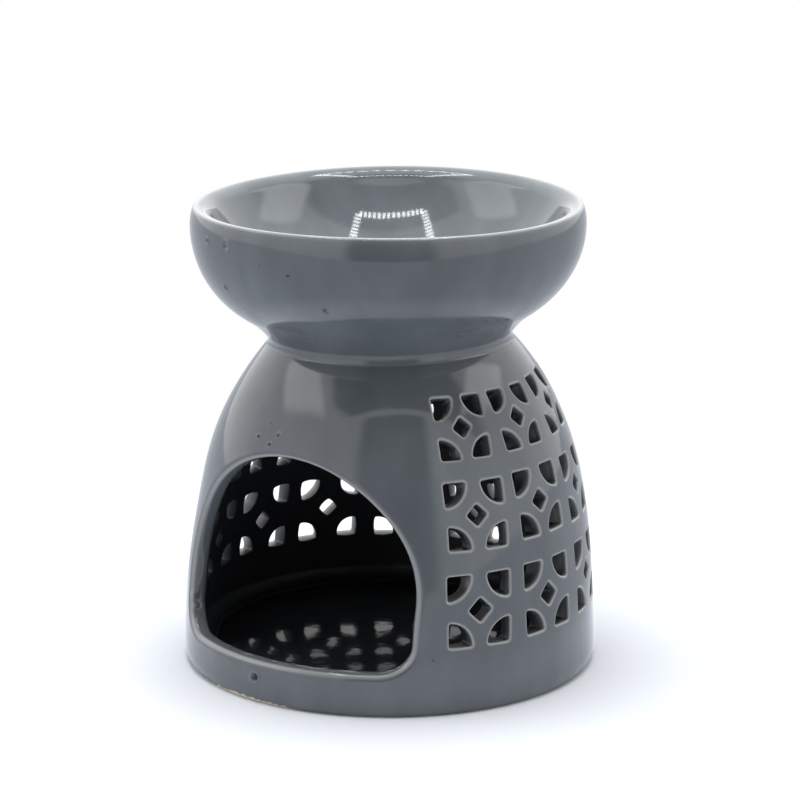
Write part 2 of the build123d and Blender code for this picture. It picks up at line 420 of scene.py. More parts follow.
def net(loops, low, high):
    """Unrolled skin between two heights: its points, triangles, loops and its two end rings."""
    start, end = SEAM * UNROLL, (SEAM + TURN) * UNROLL
    rows = round((high - low) / NET)
    across = np.linspace(start, end, AROUND + 1)
    upward = np.linspace(low, high, rows + 1)[1:-1]
    spots = [(x, low) for x in across] + [(x, high) for x in across]
    spots += [(start, y) for y in upward] + [(end, y) for y in upward]
    top, left, right = AROUND + 1, 2 * AROUND + 2, 2 * AROUND + 2 + len(upward)
    sides = [
        list(range(AROUND + 1)),
        list(range(top, top + AROUND + 1)),
        [0] + list(range(left, right)) + [top],
        [AROUND] + list(range(right, len(spots))) + [top + AROUND],
    ]
    edges = [pair for side in sides for pair in zip(side, side[1:])]
    rings = []
    for loop in loops:
        ring = list(range(len(spots), len(spots) + len(loop)))
        spots += [tuple(spot) for spot in loop]
        edges += list(zip(ring, ring[1:] + ring[:1]))
        rings.append(ring)

    tree = kdtree.KDTree(len(spots))
    for index, (x, y) in enumerate(spots):
        tree.insert((x, y, 0), index)
    tree.balance()
    fill = []
    for number, y in enumerate(np.arange(low + NET / 2, high, NET * math.sqrt(3) / 2)):
        for x in np.arange(start + NET * NET_STARTS[number % 2], end, NET):
            if tree.find((x, y, 0))[2] > CLEAR * NET:
                fill.append((x, y))
    fill = np.array(fill)
    spots += [tuple(spot) for spot in fill[~in_any(loops, fill)]]

    flat, _, faces, origins, _, _ = delaunay_2d_cdt(
        [Vector(spot) for spot in spots], edges, [], 1, SAME_SPOT)
    flat = np.array([tuple(spot) for spot in flat])
    faces = np.array(faces)
    faces = faces[~in_any(loops, flat[faces].mean(axis=1))]
    place = {source: index for index, sources in enumerate(origins) for source in sources}
    same = np.arange(len(flat))
    for kept, dropped in zip(sides[2], sides[3]):
        same[place[dropped]] = place[kept]
    rings = [[place[index] for index in ring] for ring in rings]
    low_ring = [place[index] for index in sides[0][:-1]]
    high_ring = [place[index] for index in sides[1][:-1]]
    return flat, same[faces], rings, low_ring, high_ring


def edge_steps(outer, inner):
    """How far back and how deep the loops of an opening lie, from the outside to the inside."""
    steps = [(outer + back, 0.0) for back in APRON]
    for turn in np.linspace(0, math.pi / 2, EDGE_TURNS[0] + 1):
        steps.append((outer * (1 - math.sin(turn)), outer * (1 - math.cos(turn))))
    for turn in np.linspace(math.pi / 2, 0, EDGE_TURNS[1] + 1):
        steps.append((inner * (1 - math.sin(turn)), WALL - inner * (1 - math.cos(turn))))
    steps += [(inner + back, WALL) for back in APRON[::-1]]
    return steps


def unrolled(opening, layer, back):
    """An opening's outline, moved back from its edge, on one unrolled skin."""
    normals, lay = opening[2], opening[3 + layer]
    angle, height = lay(opening[layer] + back * normals)
    return np.stack([angle * UNROLL, height], axis=-1)


def band(lower, upper):
    """Quads between two rings of as many points."""
    after = list(range(1, len(lower))) + [0]
    return [(lower[i], lower[j], upper[j], upper[i]) for i, j in enumerate(after)]


def placed(name, data):
    """A new object in the scene."""
    thing = bpy.data.objects.new(name, data)
    bpy.context.scene.collection.objects.link(thing)
    return thing


def make_piece(name, spots, faces, **marks):
    """A smooth mesh in metres. A mark is a number for each point that the glaze reads."""
    mesh = bpy.data.meshes.new(name)
    mesh.from_pydata((settled(spots) * MM).tolist(), [], faces)
    mesh.polygons.foreach_set("use_smooth", [True] * len(mesh.polygons))
    for mark, values in marks.items():
        layer = mesh.attributes.new(mark, "FLOAT", "POINT")
        layer.data.foreach_set("value", np.asarray(values, np.float32))
    mesh.validate()
    piece = placed(name, mesh)
    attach(piece, "root")
    print(name, len(mesh.vertices), "points", len(mesh.polygons), "faces")
    return piece


# %% [markdown]
# ## The pierced dome
# The foot is a narrow ring with a ledge inside it that the floor butts against, and its outside edge
# is softened where the potter sponged it. Glaze runs thin on every edge and the clay shows through
# paler there, and the same mark also paints a highlight on the edges, so each point remembers how
# close it is to an edge. Another mark says how far it lies inside the chamber, where the colour is
# darkened as painted shade: that starts just within the small holes, and only at the inner edge
# of the arch.

# %% Pierced dome
FOOT_EDGE = 0.9
FOOT_SLOPE = 0.3
FOOT_TURNS = (0, 22, 45, 68)
FLOOR_LEDGE = 1.2
EDGE_MIDDLE = 0.3
THIN_REACH = 0.4
# How soon the chamber's painted shade sets in on the wall of each kind of opening.
DARKENS = {HOLE_EDGE: 0.5, ARCH_EDGE: 6.0}


def pierced_dome():
    """The wall with its arch and lattice, its foot and its seat for the bowl."""
    outer_loops = [unrolled(opening, 0, opening[-1][0] + APRON[0]) for opening in openings]
    inner_loops = [unrolled(opening, 1, opening[-1][1] + APRON[0]) for opening in openings]
    _, _, up = wall_line(NECK_HEIGHT)
    inner_top = NECK_HEIGHT + WALL * float(up)
    outer = net(outer_loops, FOOT_EDGE, NECK_HEIGHT)
    inner = net(inner_loops, FLOOR_TOP, inner_top)
    spots = [wall_place(outer[0][:, 0] / UNROLL, outer[0][:, 1])]
    spots.append(wall_place(inner[0][:, 0] / UNROLL, inner[0][:, 1], WALL))
    inner_first = len(outer[0])
    count = inner_first + len(inner[0])
    faces = outer[1].tolist() + (inner[1][:, ::-1] + inner_first).tolist()
    # Marks for the glaze: paler near edges (thin glaze and painted highlight), and painted shade inside
    # the chamber.
    wear = [np.zeros(len(outer[0])), np.zeros(len(inner[0]))]
    chamber_shade = [np.zeros(len(outer[0])), np.ones(len(inner[0]))]

    for number, opening in enumerate(openings):
        steps = edge_steps(*opening[-1])
        last = [index + inner_first for index in inner[2][number]]
        ring = outer[2][number]
        for back, depth in steps[1:-1]:
            outside = unrolled(opening, 0, back)
            inside = unrolled(opening, 1, back)
            share = depth / WALL
            spots.append(
                (1 - share) * wall_place(outside[:, 0] / UNROLL, outside[:, 1])
                + share * wall_place(inside[:, 0] / UNROLL, inside[:, 1], WALL))
            # The edge mark is thin glaze and painted highlight; the chamber mark is painted shade, growing
            # deeper into the opening.
            thinnest = EDGE_MIDDLE * opening[-1][0]
            edge = math.hypot(back - thinnest, depth - thinnest)
            wear.append(np.full(len(outside), math.exp(-(edge / THIN_REACH) ** 2)))
            chamber_shade.append(np.full(len(outside), share ** DARKENS[opening[-1]]))
            following = list(range(count, count + len(outside)))
            faces += band(ring, following)
            count += len(outside)
            ring = following
        faces += band(ring, last)

    angles = np.array([outer[0][index, 0] / UNROLL for index in outer[3]])
    ledge = BODY_RADIUS - WALL + FLOOR_LEDGE
    edge = float(wall_line(FOOT_EDGE)[0])
    foot = [(ledge, FLOOR_TOP), (ledge, FOOT_EDGE), (ledge + FOOT_SLOPE, 0.0)]
    for turn in np.radians(FOOT_TURNS):
        foot.append((edge - FOOT_EDGE * (1 - math.sin(turn)), FOOT_EDGE * (1 - math.cos(turn))))
    ring = [index + inner_first for index in inner[3]]
    for radius, height in foot:
        spots.append(np.stack(
            [radius * np.sin(angles), -radius * np.cos(angles), np.full(len(angles), height)], axis=-1))
        wear.append(np.zeros(len(angles)))
        chamber_shade.append(np.zeros(len(angles)))
        following = list(range(count, count + len(angles)))
        faces += band(ring, following)
        count += len(angles)
        ring = following
    faces += band(ring, outer[3])
    faces += band(outer[4], [index + inner_first for index in inner[4]])

    used = np.zeros(count, bool)
    for face in faces:
        used[list(face)] = True
    number = np.cumsum(used) - 1
    faces = [[int(number[index]) for index in face] for face in faces]
    return make_piece("pierced_dome_glazed", np.concatenate(spots)[used], faces,
                      thin_glaze=np.concatenate(wear)[used], chamber=np.concatenate(chamber_shade)[used])


dome = pierced_dome()
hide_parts("pierced_dome")

# %% [markdown]
# ## The turned pieces
# The bowl, the floor and the two slip beads are round, so each is a line spun about the axis. The
# bowl's line goes from the middle of its underside, up the outside, over the lip and down inside.

# %% Spinning a line
SEGMENTS = 288


def arc_line(centre, radius, first, last, pieces):
    """Points along an arc between two degrees."""
    turns = np.radians(np.linspace(first, last, pieces + 1))
    return np.stack([centre[0] + radius * np.cos(turns), centre[1] + radius * np.sin(turns)], axis=-1)


def straight_line(start, end, pieces):
    """Evenly spaced points of a straight run."""
    return np.linspace(start, end, pieces + 1)


def spun(name, line, **marks):
    """A closed line spun about the axis. Ends on the axis are closed with a fan."""
    angles = np.linspace(0, TURN, SEGMENTS, endpoint=False)
    spots, rings, faces = [], [], []
    for radius, height in line:
        first = len(spots)
        if radius < SAME_SPOT:
            spots.append((0.0, 0.0, height))
            rings.append([first])
            continue
        for angle in angles:
            spots.append((radius * math.sin(angle), -radius * math.cos(angle), height))
        rings.append(list(range(first, first + SEGMENTS)))
    counts = [len(ring) for ring in rings]
    marks = {mark: np.repeat(values, counts) for mark, values in marks.items()}
    if line[0][0] > SAME_SPOT:
        rings.append(rings[0])
    for lower, upper in zip(rings, rings[1:]):
        if len(lower) == 1:
            faces += [(lower[0], upper[(i + 1) % SEGMENTS], upper[i]) for i in range(SEGMENTS)]
        elif len(upper) == 1:
            faces += [(lower[i], lower[(i + 1) % SEGMENTS], upper[0]) for i in range(SEGMENTS)]
        else:
            faces += band(lower, upper)
    return make_piece(name, spots, faces, **marks)


def bearing(middle, spot):
    """Degrees from the middle of an arc to one of its points."""
    return math.degrees(math.atan2(spot[1] - middle[1], spot[0] - middle[0]))


# %% Oil bowl
BOWL_RADIUS = bowl_high.x / MM
BOWL_WIDEST_HEIGHT = 30.9
BOWL_TURN_SETBACK = 13.3
BOWL_TURN_HEIGHT = 6.95
LIP_SHOULDER = 12.0
LIP_EDGE = 0.9
LIP_ROLL = 5.0
LIP_THIN_REACH = 0.8
LIP_THIN = 0.6
BOWL_BOTTOM = 5.0
UNDERSIDE_PIECES = 8
STEM_PIECES = 14
BELLY_PIECES = 36
SHOULDER_PIECES = 8
LIP_PIECES = 9
ROLL_PIECES = 14
DISH_PIECES = 60
neck = np.array((NECK_RADIUS, NECK_HEIGHT))
bowl_widest = np.array((BOWL_RADIUS, NECK_HEIGHT + BOWL_WIDEST_HEIGHT))
bowl_turn = np.array((BOWL_RADIUS - BOWL_TURN_SETBACK, NECK_HEIGHT + BOWL_TURN_HEIGHT))
bowl_centre, bowl_curve = tangent_arc(bowl_widest, bowl_turn, (0, -1))
turn_way = (bowl_turn - bowl_centre) / bowl_curve
stem_centre, stem_curve = tangent_arc(bowl_turn, neck, (turn_way[1], -turn_way[0]))


def bowl_line():
    """The bowl's section, and how thin the glaze runs along it."""
    shoulder_centre = bowl_widest - np.array((LIP_SHOULDER, 0))
    reach = LIP_SHOULDER - LIP_EDGE
    tilt = math.asin((RIM_HEIGHT - bowl_widest[1] - LIP_EDGE) / reach)
    edge_centre = shoulder_centre + reach * np.array((math.cos(tilt), math.sin(tilt)))
    crest = edge_centre + np.array((0, LIP_EDGE))
    roll_centre = crest - np.array((0, LIP_ROLL))
    bottom = NECK_HEIGHT + BOWL_BOTTOM
    run, rise = roll_centre[0], roll_centre[1] - bottom
    dish_radius = (run**2 + rise**2 - LIP_ROLL**2) / (2 * (rise + LIP_ROLL))
    dish_centre = np.array((0, bottom + dish_radius))
    touch = bearing(roll_centre, dish_centre)
    stem_span = bearing(stem_centre, neck), bearing(stem_centre, bowl_turn)
    parts = [
        straight_line((0, NECK_HEIGHT), neck, UNDERSIDE_PIECES),
        arc_line(stem_centre, stem_curve, *stem_span, STEM_PIECES),
        arc_line(bowl_centre, bowl_curve, bearing(bowl_centre, bowl_turn), 0, BELLY_PIECES),
        arc_line(shoulder_centre, LIP_SHOULDER, 0, math.degrees(tilt), SHOULDER_PIECES),
        arc_line(edge_centre, LIP_EDGE, math.degrees(tilt), 90, LIP_PIECES),
        arc_line(roll_centre, LIP_ROLL, 90, touch, ROLL_PIECES),
        arc_line(dish_centre, dish_radius, touch - 180, -90, DISH_PIECES),
    ]
    line = np.concatenate([parts[0]] + [part[1:] for part in parts[1:]])
    # Paler along the crest of the lip: thin glaze, and also painted highlight.
    wear = LIP_THIN * np.exp(-np.square(np.linalg.norm(line - crest, axis=1) / LIP_THIN_REACH))
    return line, wear


section, lip_wear = bowl_line()
bowl = spun("oil_bowl_glazed", section, thin_glaze=lip_wear)
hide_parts("oil_bowl")

# %% Chamber floor
FLOOR_CLEARANCE = 0.15
BELOW_PIECES, EDGE_PIECES, ABOVE_PIECES = 10, 3, 24
floor_edge = BODY_RADIUS - WALL + FLOOR_LEDGE - FLOOR_CLEARANCE
floor_line = np.concatenate([
    straight_line((0, FLOOR_BOTTOM), (floor_edge, FLOOR_BOTTOM), BELOW_PIECES),
    straight_line((floor_edge, FLOOR_BOTTOM), (floor_edge, FLOOR_TOP), EDGE_PIECES)[1:],
    straight_line((floor_edge, FLOOR_TOP), (0, FLOOR_TOP), ABOVE_PIECES)[1:],
])
chamber_floor = spun("chamber_floor_glazed", floor_line)
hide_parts("chamber_floor")

# %% [markdown]
# ## The slip beads
# Slip squeezed out of the joint between dome and bowl was smoothed with a finger to a hollow line. A
# circle that touches the dome from outside and the stem from within gives that hollow exactly, so the
# glaze can run over it unbroken. The other bead fills the corner between the floor and the wall.

# %% Neck and floor beads
NECK_BEAD = 2.2
NECK_THIN = 0.1
FLOOR_BEAD = 4.0
BEAD_ROOT = 0.6
NECK_BEAD_PIECES, FLOOR_BEAD_PIECES, BEAD_SIDE_PIECES = 16, 10, 2


def touching_circle(radius):
    """Centre of the circle of this radius that touches the dome and the hollow stem of the bowl."""
    gap = stem_centre - crown_centre
    span = np.linalg.norm(gap)
    one, two = crown_radius + radius, stem_curve - radius
    along = (one**2 - two**2 + span**2) / (2 * span)
    across = math.sqrt(one**2 - along**2)
    way = gap / span
    return crown_centre + way * along + np.array((-way[1], way[0])) * across


def closed_bead(face, root):
    """A bead's section: its visible face, and two straight sides down to its root in the joint."""
    return np.concatenate([face, straight_line(face[-1], root, BEAD_SIDE_PIECES)[1:],
                           straight_line(root, face[0], BEAD_SIDE_PIECES)[1:-1]])


bead_centre = touching_circle(NECK_BEAD)
to_dome = bearing(bead_centre, crown_centre) % 360
to_bowl = bearing(stem_centre, bead_centre) % 360
bead_face = arc_line(bead_centre, NECK_BEAD, to_dome, to_bowl, NECK_BEAD_PIECES)
bead_line = closed_bead(bead_face, np.array((NECK_RADIUS - BEAD_ROOT, NECK_HEIGHT)))
# The whole neck bead is a little paler: thin glaze, and also painted highlight.
neck_bead = spun("neck_luting_ring_glazed", bead_line, thin_glaze=np.full(len(bead_line), NECK_THIN))
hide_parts("neck_luting_ring")

inside_wall = BODY_RADIUS - WALL
floor_bead_centre = (inside_wall - FLOOR_BEAD, FLOOR_TOP + FLOOR_BEAD)
floor_bead_face = arc_line(floor_bead_centre, FLOOR_BEAD, 0, -90, FLOOR_BEAD_PIECES)
floor_bead_line = closed_bead(floor_bead_face, np.array((inside_wall, FLOOR_TOP)))
# The floor bead lies wholly inside the chamber, so all of it takes the chamber's painted shade.
floor_bead = spun("floor_luting_ring_glazed", floor_bead_line, chamber=np.ones(len(floor_bead_line)))
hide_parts("floor_luting_ring")
print("waist radius", round(float(bead_face[:, 0].min()), 2))

# %% [markdown]
# ## Pits
# Gas that escapes through the melting glaze leaves pinholes with a slightly raised rim, and a drip
# leaves a lump. They are real here: the mesh is made finer round each one and pressed in or out, so
# they are part of the mesh itself.

# %% Pits and lumps
PIT_ROUNDS = 3
PIT_REACH = 3.0
PIT_CLOSES_IN = 0.6
PIT_FALLOFF = 1.6
PIT_RIM = 0.22
PIT_RIM_AT = 1.7
PIT_RIM_FALLOFF = 3.0
DOME_PITS = [(-4.3, 7.0, 0.8, 1.2), (-14.6, 67.7, 0.42, 0.5), (-8.5, 66.6, 0.40, 0.5),
             (-5.7, 69.2, 0.42, 0.4), (-11.0, 71.5, 0.3, 0.25), (46.7, 15.3, 0.3, 0.3)]
BOWL_PITS = [(-28.2, 118.2, 0.5, 0.5), (-17.9, 118.4, 0.9, 0.35), (-22.9, 106.4, 0.42, 0.6),
             (5.3, 113.8, 0.45, 0.5), (15.2, 104.9, 0.42, 0.55), (-4.0, 115.5, 0.3, 0.3)]
JAMB_LUMPS = [(-41.2, 53.5, 20.0, 1.0, -0.45), (-41.0, 53.0, 17.0, 0.8, -0.35)]


def press(work, spot, normal, radius, depth):
    """One dent, or a lump where depth is negative, in a mesh that is made finer round it."""
    def close_to(reach):
        return [vert for vert in work.verts if (vert.co - spot).length < reach * radius * MM]

    for turn in range(PIT_ROUNDS):
        reach = PIT_REACH - PIT_CLOSES_IN * turn
        edges = {edge for vert in close_to(reach) for edge in vert.link_edges}
        bmesh.ops.subdivide_edges(work, edges=list(edges), cuts=1, use_grid_fill=True)
    near = close_to(2 * PIT_REACH)
    faces = {face for vert in near for face in vert.link_faces if len(face.verts) > 4}
    bmesh.ops.triangulate(work, faces=list(faces))
    for vert in near:
        away = (vert.co - spot).length / (radius * MM)
        rim = PIT_RIM * math.exp(-PIT_RIM_FALLOFF * (away - PIT_RIM_AT)**2)
        vert.co -= normal * depth * MM * (math.exp(-PIT_FALLOFF * away**2) - rim)


def outward_at(degrees):
    """The level direction away from the axis, at these degrees from the arch."""
    return Vector((math.sin(math.radians(degrees)), -math.cos(math.radians(degrees)), 0))


def press_all(piece, pits, lumps=()):
    """Pits of (degrees from the arch, height, radius, depth), and lumps that also say how far out."""
    work = bmesh.new()
    work.from_mesh(piece.data)
    for degrees, height, radius, depth in pits:
        outward = outward_at(degrees)
        start = outward * 2 * BODY_RADIUS * MM + Vector((0, 0, height * MM))
        spot, normal, _, _ = BVHTree.FromBMesh(work).ray_cast(start, -outward)
        press(work, spot, normal, radius, depth)
    for degrees, out, height, radius, depth in lumps:
        goal = (outward_at(degrees) * out + Vector((0, 0, height))) * MM
        spot, normal, _, _ = BVHTree.FromBMesh(work).find_nearest(goal)
        press(work, spot, normal, radius, depth)
    work.to_mesh(piece.data)
    work.free()
    piece.data.polygons.foreach_set("use_smooth", [True] * len(piece.data.polygons))
    print(piece.name, "pits", len(pits), "lumps", len(lumps), "points", len(piece.data.vertices))


press_all(dome, DOME_PITS, JAMB_LUMPS)
press_all(bowl, BOWL_PITS)

# %% [markdown]
# ## Grey stoneware glaze
# The clay was dipped in a grey glaze and fired until it melted to glass: smooth and very glossy, a
# little darker where it pooled and paler and browner where it ran thin over an edge; the paler edges
# are also partly painted highlight. Inside the chamber the colour is painted shade, dark for the
# little light that gets in. The gloss comes from the glassy layer, with the refractive index of
# glass, and the grey from the pigment under it.

# %% Colour and node helpers
def linear(code):
    """An sRGB hex colour as the linear colour that a shader takes."""
    parts = [int(code[index:index + 2], 16) / 255 for index in (1, 3, 5)]
    return tuple(c / 12.92 if c <= 0.04045 else ((c + 0.055) / 1.055) ** 2.4 for c in parts) + (1.0,)


def new_finish(name):
    """A material, its node tree and its shader."""
    material = bpy.data.materials.new(name)
    material.use_nodes = True
    return material, material.node_tree, material.node_tree.nodes["Principled BSDF"]


def add(tree, kind, settings=None, **inputs):
    """A node with its settings. An input that is a socket is linked, and any other is set."""
    node = tree.nodes.new(kind)
    for name, value in (settings or {}).items():
        setattr(node, name, value)
    for name, value in inputs.items():
        key = int(name[1:]) if name[1:].isdigit() else name.replace("_", " ")
        if isinstance(value, bpy.types.NodeSocket):
            tree.links.new(value, node.inputs[key])
        else:
            node.inputs[key].default_value = value
    return node


# %% Grey glaze
GLAZE_GREY = "#5f6468"
GLAZE_POOLED = "#43474a"
# Paler edges: partly clay showing through thin glaze, partly painted highlight.
GLAZE_THIN_AND_HIGHLIGHT = "#9b9a97"
# Painted shade: the dark colour inside the chamber, where little light gets in.
CHAMBER_PAINTED_SHADE = "#24262a"
BISCUIT = "#c4b9a6"
POOL_MM = 12.0
POOL_DETAIL = 3.0
RUN_STRETCH = 0.4
RIPPLE_MM = 9.0
RIPPLE_DETAIL = 1.0
SPECK_MM = 1.2
SPECK_DETAIL = 2.0
BARE_MM = (0.12, 0.8)
BARE_EDGE_MM = 0.35
BARE_TURN = math.radians(-8)
BARE_SPREAD = math.radians(20)
NOISE_MEAN = 0.5
THIN_SHOWS = 0.75
CHAMBER_FADE = (0.15, 0.85)
GLAZE_ROUGH = 0.06
CHAMBER_ROUGH = 0.45
BARE_ROUGH = 0.8
RIPPLE_HEIGHT_MM = 0.04
RIPPLE_STRENGTH = 0.8
GLAZE_IOR = 1.52


def fired_glaze():
    """Glossy grey glaze over a pale clay that is bare under the foot."""
    material, tree, shader = new_finish("grey_glazed_stoneware_dipped_and_fired")
    place = add(tree, "ShaderNodeTexCoord").outputs["Object"]

    runs = add(tree, "ShaderNodeVectorMath", {"operation": "MULTIPLY"}, i0=place, i1=(1, 1, RUN_STRETCH))
    pools = add(tree, "ShaderNodeTexNoise", Vector=runs.outputs[0], Scale=1 / (POOL_MM * MM),
                Detail=POOL_DETAIL)
    pooled = add(tree, "ShaderNodeMix", {"data_type": "RGBA"}, Factor=pools.outputs[0],
                 i6=linear(GLAZE_POOLED), i7=linear(GLAZE_GREY))
    # Edges are made paler: partly thin glaze, partly painted highlight.
    thin = add(tree, "ShaderNodeAttribute", {"attribute_name": "thin_glaze"})
    edge = add(tree, "ShaderNodeMath", {"operation": "MULTIPLY"}, i0=thin.outputs["Fac"], i1=THIN_SHOWS)
    broken = add(tree, "ShaderNodeMix", {"data_type": "RGBA"}, Factor=edge.outputs[0],
                 i6=pooled.outputs[2], i7=linear(GLAZE_THIN_AND_HIGHLIGHT))
    # Inside the chamber the colour turns dark as painted shade, and the glaze also gets rougher there.
    chamber_shade = add(tree, "ShaderNodeAttribute", {"attribute_name": "chamber"})
    chamber_shade_mask = add(tree, "ShaderNodeMapRange", {"interpolation_type": "SMOOTHSTEP"},
                Value=chamber_shade.outputs["Fac"], From_Min=CHAMBER_FADE[0], From_Max=CHAMBER_FADE[1]).outputs[0]
    glazed = add(tree, "ShaderNodeMix", {"data_type": "RGBA"}, Factor=chamber_shade_mask, i6=broken.outputs[2],
                 i7=linear(CHAMBER_PAINTED_SHADE))

    level = add(tree, "ShaderNodeVectorMath", {"operation": "MULTIPLY"}, i0=place, i1=(1, 1, 0))
    heading = add(tree, "ShaderNodeVectorMath", {"operation": "NORMALIZE"}, i0=level.outputs[0])
    facing = add(tree, "ShaderNodeVectorMath", {"operation": "DOT_PRODUCT"}, i0=heading.outputs[0],
                 i1=(math.sin(BARE_TURN), -math.cos(BARE_TURN), 0))
    limit = add(tree, "ShaderNodeMapRange", {"interpolation_type": "SMOOTHSTEP"},
                Value=facing.outputs["Value"], From_Min=math.cos(BARE_SPREAD), From_Max=1.0,
                To_Min=BARE_MM[0] * MM, To_Max=BARE_MM[1] * MM)
    specks = add(tree, "ShaderNodeTexNoise", Vector=place, Scale=1 / (SPECK_MM * MM), Detail=SPECK_DETAIL)
    ragged = add(tree, "ShaderNodeMath", {"operation": "MULTIPLY"}, i0=limit.outputs[0],
                 i1=specks.outputs[0])
    height = add(tree, "ShaderNodeSeparateXYZ", Vector=place).outputs["Z"]
    above = add(tree, "ShaderNodeMath", {"operation": "MULTIPLY_ADD"}, i0=ragged.outputs[0],
                i1=-1 / NOISE_MEAN, i2=height)
    bare = add(tree, "ShaderNodeMapRange", Value=above.outputs[0], From_Min=-BARE_EDGE_MM * MM / 2,
               From_Max=BARE_EDGE_MM * MM / 2, To_Min=1.0, To_Max=0.0).outputs[0]
    clay = add(tree, "ShaderNodeMix", {"data_type": "RGBA"}, Factor=bare, i6=glazed.outputs[2],
               i7=linear(BISCUIT))
    tree.links.new(clay.outputs[2], shader.inputs["Base Color"])
    gloss = add(tree, "ShaderNodeMapRange", Value=chamber_shade_mask, To_Min=GLAZE_ROUGH, To_Max=CHAMBER_ROUGH)
    rough = add(tree, "ShaderNodeMix", Factor=bare, i2=gloss.outputs[0], i3=BARE_ROUGH)
    tree.links.new(rough.outputs[0], shader.inputs["Roughness"])

    ripple = add(tree, "ShaderNodeTexNoise", Vector=place, Scale=1 / (RIPPLE_MM * MM),
                 Detail=RIPPLE_DETAIL)
    bump = add(tree, "ShaderNodeBump", Height=ripple.outputs[0], Distance=RIPPLE_HEIGHT_MM * MM,
               Strength=RIPPLE_STRENGTH)
    tree.links.new(bump.outputs[0], shader.inputs["Normal"])
    shader.inputs["IOR"].default_value = GLAZE_IOR
    return material


glaze = fired_glaze()
for piece in (dome, bowl, neck_bead, floor_bead):
    piece.data.materials.append(glaze)

# %% [markdown]
# ## The floor of the chamber
# Glaze ran down and lay on the floor in an uneven pool, so that the light of the lattice is
# mirrored there in broken pieces. Its dark colour is painted shade, for the chamber that gets
# little light. Underneath, the slab was wiped clean and is bare clay. The slab is flat: its slight
# swell is only in the shading. The swell, and a refractive index below that of a real glaze, were
# chosen so that the mirrored light comes out as small and as dim as it should.

# %% Floor glaze
POOL_WAVE_MM = 7.0
POOL_WAVE_HEIGHT = 0.10
POOL_WAVE_DETAIL = 2.0
POOL_IOR = 1.15
POOL_SWELL_MM = 420.0
POOL_ROUGH = 0.08
SLAB_ROUGH = 0.85


def floor_pool():
    """Glaze on top of the slab, coloured dark as painted shade, and bare clay below."""
    material, tree, shader = new_finish("stoneware_floor_glaze_with_painted_shade")
    place = add(tree, "ShaderNodeTexCoord").outputs["Object"]
    height = add(tree, "ShaderNodeSeparateXYZ", Vector=place).outputs["Z"]
    top = add(tree, "ShaderNodeMath", {"operation": "GREATER_THAN"}, i0=height,
              i1=(FLOOR_TOP - POOL_WAVE_HEIGHT) * MM).outputs[0]
    # Painted shade: the top of the slab takes the chamber's dark colour.
    colour = add(tree, "ShaderNodeMix", {"data_type": "RGBA"}, Factor=top, i6=linear(BISCUIT),
                 i7=linear(CHAMBER_PAINTED_SHADE))
    tree.links.new(colour.outputs[2], shader.inputs["Base Color"])
    waves = add(tree, "ShaderNodeTexNoise", Vector=place, Scale=1 / (POOL_WAVE_MM * MM),
                Detail=POOL_WAVE_DETAIL)
    gloss = add(tree, "ShaderNodeMapRange", Value=top, To_Min=SLAB_ROUGH, To_Max=POOL_ROUGH)
    tree.links.new(gloss.outputs[0], shader.inputs["Roughness"])
    level = add(tree, "ShaderNodeVectorMath", {"operation": "MULTIPLY"}, i0=place, i1=(1, 1, 0))
    spread = add(tree, "ShaderNodeVectorMath", {"operation": "DOT_PRODUCT"}, i0=level.outputs[0],
                 i1=level.outputs[0])
    swell = add(tree, "ShaderNodeMath", {"operation": "MULTIPLY_ADD"}, i0=spread.outputs["Value"],
                i1=-1 / (2 * POOL_SWELL_MM * MM * POOL_WAVE_HEIGHT * MM), i2=waves.outputs[0])
    bump = add(tree, "ShaderNodeBump", Height=swell.outputs[0], Distance=POOL_WAVE_HEIGHT * MM)
    tree.links.new(bump.outputs[0], shader.inputs["Normal"])
    shader.inputs["IOR"].default_value = POOL_IOR
    return material


chamber_floor.data.materials.append(floor_pool())
print("materials", [material.name for material in bpy.data.materials if "stoneware" in material.name])

# %% [markdown]
# ## Studio
# The burner stands on white paper on a table that ends not far in front of it, so that the lip mirrors
# the dark beyond. The paper keeps the shadow near the burner and is plain white further off, for the
# camera and for mirror images, and that is done in its material, without more light on the burner.

# %% Table
TABLE_HALF = 3.0
TABLE_FRONT = 0.45
PAPER_SEEN = "#ced1d6"
PAPER_BOUNCE = "#e0e4ee"
PAPER_ROUGH = 0.9
PLAIN_WHITE = "#ffffff"
PLAIN_STRENGTH = 1.0
SHADOW_REACH = (0.10, 0.22)
MIRROR_REACH = (0.065, 0.13)
table_mesh = bpy.data.meshes.new("white_table")
table_edges = ((-1, TABLE_FRONT), (1, TABLE_FRONT), (1, -TABLE_HALF), (-1, -TABLE_HALF))
table_corners = [to_the_right * side * TABLE_HALF + toward_camera * front for side, front in table_edges]
table_mesh.from_pydata(table_corners, [], [(0, 1, 2, 3)])
table = placed("white_table", table_mesh)


